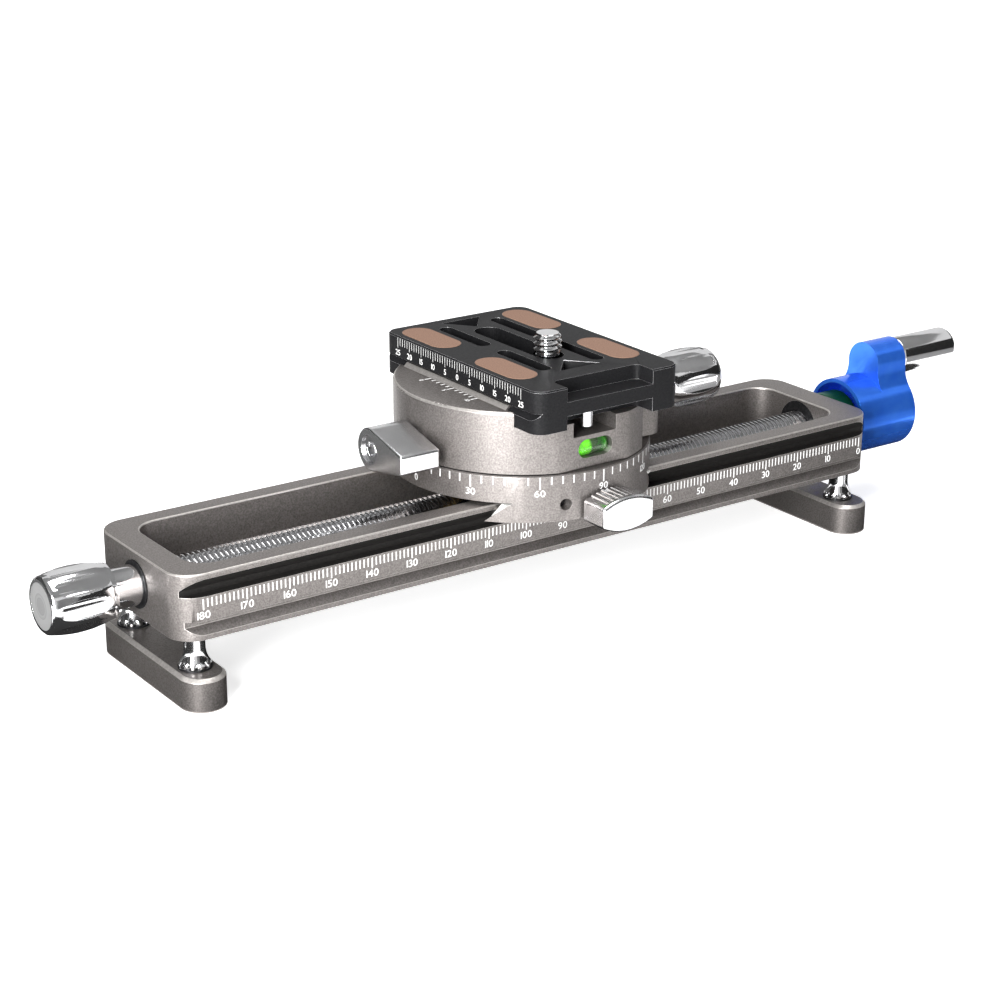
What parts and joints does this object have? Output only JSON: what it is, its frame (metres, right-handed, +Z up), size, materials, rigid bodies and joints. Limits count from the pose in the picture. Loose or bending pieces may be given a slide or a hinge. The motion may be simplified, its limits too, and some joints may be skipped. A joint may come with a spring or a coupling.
{
  "type": "macro focusing rail",
  "caption": "Long focusing rail with a cranked lead screw, a sliding panning clamp with a quick release plate, and levelling feet.",
  "frame": {"origin": "middle of the rail's underside, at the mouth of the tripod socket", "axes": "+X along the rail towards the crank, +Y away from the scale's reader, +Z up"},
  "size_m": [0.254, 0.0664, 0.0618],
  "materials": {
    "titanium_anodised": "bead-blasted grey anodised aluminium",
    "black_anodised": "satin black anodised aluminium",
    "chrome_plated": "bright nickel-chrome plating",
    "satin_steel": "ground steel",
    "blue_anodised": "glossy blue anodised aluminium",
    "green_anodised": "green anodised aluminium",
    "brass": "machined brass",
    "black_oxide_steel": "black oxide",
    "pad_rubber_cork": "speckled brown grip pad",
    "white_acetal": "smooth acetal",
    "vial_glass": "clear",
    "vial_liquid": "clear green liquid",
    "grey_cap": "fine-turned grey insert"
  },
  "bodies": {
    "rail": {"rail_body": "titanium_anodised", "left_bush": "black_oxide_steel", "right_bush": "brass"},
    "drive": {"lead_screw": "satin_steel", "thrust_collar": "green_anodised", "left_knob": "chrome_plated", "left_knob_cap": "grey_cap", "crank_arm": "blue_anodised", "crank_screw": "black_oxide_steel", "handle_pin": "satin_steel"},
    "handle": {"crank_handle": "chrome_plated", "handle_plug": "chrome_plated"},
    "carriage": {"carriage_base": "titanium_anodised", "drive_nut": "brass", "drive_nut_screws": "black_oxide_steel", "gib_front": "white_acetal", "gib_rear": "white_acetal", "slide_pad_front": "white_acetal", "slide_pad_rear": "white_acetal", "gib_set_screw": "black_oxide_steel"},
    "lock": {"lock_knob": "chrome_plated", "lock_screw": "satin_steel"},
    "pan": {"clamp_body": "titanium_anodised", "pan_keeper": "satin_steel", "pan_keeper_screws": "black_oxide_steel", "level_vial": "vial_glass", "vial_liquid": "vial_liquid", "brake_pin": "brass", "jaw_springs": "satin_steel"},
    "lever": {"pan_lever": "chrome_plated", "lever_screw": "chrome_plated", "lever_spindle": "satin_steel"},
    "jaw": {"clamp_jaw": "titanium_anodised", "jaw_guide_pins": "satin_steel"},
    "clamp": {"clamp_knob": "chrome_plated", "clamp_knob_cap": "grey_cap", "clamp_screw": "satin_steel"},
    "plate": {"qr_plate": "black_anodised", "plate_pad_1": "pad_rubber_cork", "plate_pad_2": "pad_rubber_cork", "plate_pad_3": "pad_rubber_cork", "plate_pad_4": "pad_rubber_cork", "plate_stop_screws": "chrome_plated"},
    "screw_carrier": {"screw_washer": "black_oxide_steel"},
    "camera": {"camera_screw": "chrome_plated"},
    "foot_left": {"foot_bar_left": "titanium_anodised", "foot_washers_left": "black_oxide_steel"},
    "foot_right": {"foot_bar_right": "titanium_anodised", "foot_washers_right": "black_oxide_steel"},
    "level_left_front": {"level_screw_left_front": "chrome_plated", "level_clip_left_front": "black_oxide_steel"},
    "level_left_rear": {"level_screw_left_rear": "chrome_plated", "level_clip_left_rear": "black_oxide_steel"},
    "level_right_front": {"level_screw_right_front": "chrome_plated", "level_clip_right_front": "black_oxide_steel"},
    "level_right_rear": {"level_screw_right_rear": "chrome_plated", "level_clip_right_rear": "black_oxide_steel"}
  },
  "joints": [
    {"name": "crank_turn", "type": "hinge", "parent": "rail", "child": "drive", "pos_m": [0.1, 0, 0.00725], "axis": [-1, 0, 0], "range_deg": [-20161, 12601]},
    {"name": "carriage_slide", "type": "slide", "parent": "rail", "child": "carriage", "axis": [1, 0, 0], "range_m": [-0.07, 0.04375]},
    {"name": "handle_spin", "type": "hinge", "parent": "drive", "child": "handle", "pos_m": [0.127, 0, 0.02015], "axis": [1, 0, 0], "continuous": true},
    {"name": "lock_turn", "type": "hinge", "parent": "carriage", "child": "lock", "pos_m": [0.00485, -0.034, 0.0128], "axis": [0, -1, 0], "range_deg": [0, 180]},
    {"name": "pan_turn", "type": "hinge", "parent": "carriage", "child": "pan", "pos_m": [0.0025, 0, 0.0215], "axis": [0, 0, 1], "continuous": true},
    {"name": "lever_turn", "type": "hinge", "parent": "pan", "child": "lever", "pos_m": [-0.033, 0.0002, 0.0253], "axis": [-1, 0, 0], "range_deg": [-15, 90]},
    {"name": "jaw_slide", "type": "slide", "parent": "pan", "child": "jaw", "axis": [1, 0, 0], "range_m": [0, 0.003]},
    {"name": "clamp_turn", "type": "hinge", "parent": "jaw", "child": "clamp", "pos_m": [0.05, 0, 0.0266], "axis": [1, 0, 0], "range_deg": [0, 1080]},
    {"name": "plate_slide", "type": "slide", "parent": "pan", "child": "plate", "axis": [0, 1, 0], "range_m": [-0.0083, 0.0099]},
    {"name": "camera_screw_slide", "type": "slide", "parent": "plate", "child": "screw_carrier", "axis": [0, 1, 0], "range_m": [-0.0005, 0.022]},
    {"name": "camera_screw_spin", "type": "hinge", "parent": "screw_carrier", "child": "camera", "pos_m": [0.004, -0.0078, 0.04], "axis": [0, 0, 1], "continuous": true},
    {"name": "foot_left_slide", "type": "slide", "parent": "rail", "child": "foot_left", "axis": [0, 0, -1], "range_m": [0, 0.0028]},
    {"name": "level_left_front_turn", "type": "hinge", "parent": "foot_left", "child": "level_left_front", "pos_m": [-0.0894, -0.0138, -0.005], "axis": [0, 0, -1], "range_deg": [0, 1441]},
    {"name": "level_left_rear_turn", "type": "hinge", "parent": "foot_left", "child": "level_left_rear", "pos_m": [-0.0894, 0.0138, -0.005], "axis": [0, 0, -1], "range_deg": [0, 1441]},
    {"name": "foot_right_slide", "type": "slide", "parent": "rail", "child": "foot_right", "axis": [0, 0, -1], "range_m": [0, 0.0028]},
    {"name": "level_right_front_turn", "type": "hinge", "parent": "foot_right", "child": "level_right_front", "pos_m": [0.0894, -0.0138, -0.005], "axis": [0, 0, -1], "range_deg": [0, 1441]},
    {"name": "level_right_rear_turn", "type": "hinge", "parent": "foot_right", "child": "level_right_rear", "pos_m": [0.0894, 0.0138, -0.005], "axis": [0, 0, -1], "range_deg": [0, 1441]}
  ],
  "couplings": [
    {"joint": "crank_turn", "follows": "carriage_slide", "rad_per_m": 5026.5},
    {"joint": "jaw_slide", "follows": "clamp_turn", "m_per_rad": 0.00015915},
    {"joint": "level_left_front_turn", "follows": "foot_left_slide", "rad_per_m": 8976},
    {"joint": "level_left_rear_turn", "follows": "foot_left_slide", "rad_per_m": 8976},
    {"joint": "level_right_front_turn", "follows": "foot_right_slide", "rad_per_m": 8976},
    {"joint": "level_right_rear_turn", "follows": "foot_right_slide", "rad_per_m": 8976}
  ]
}
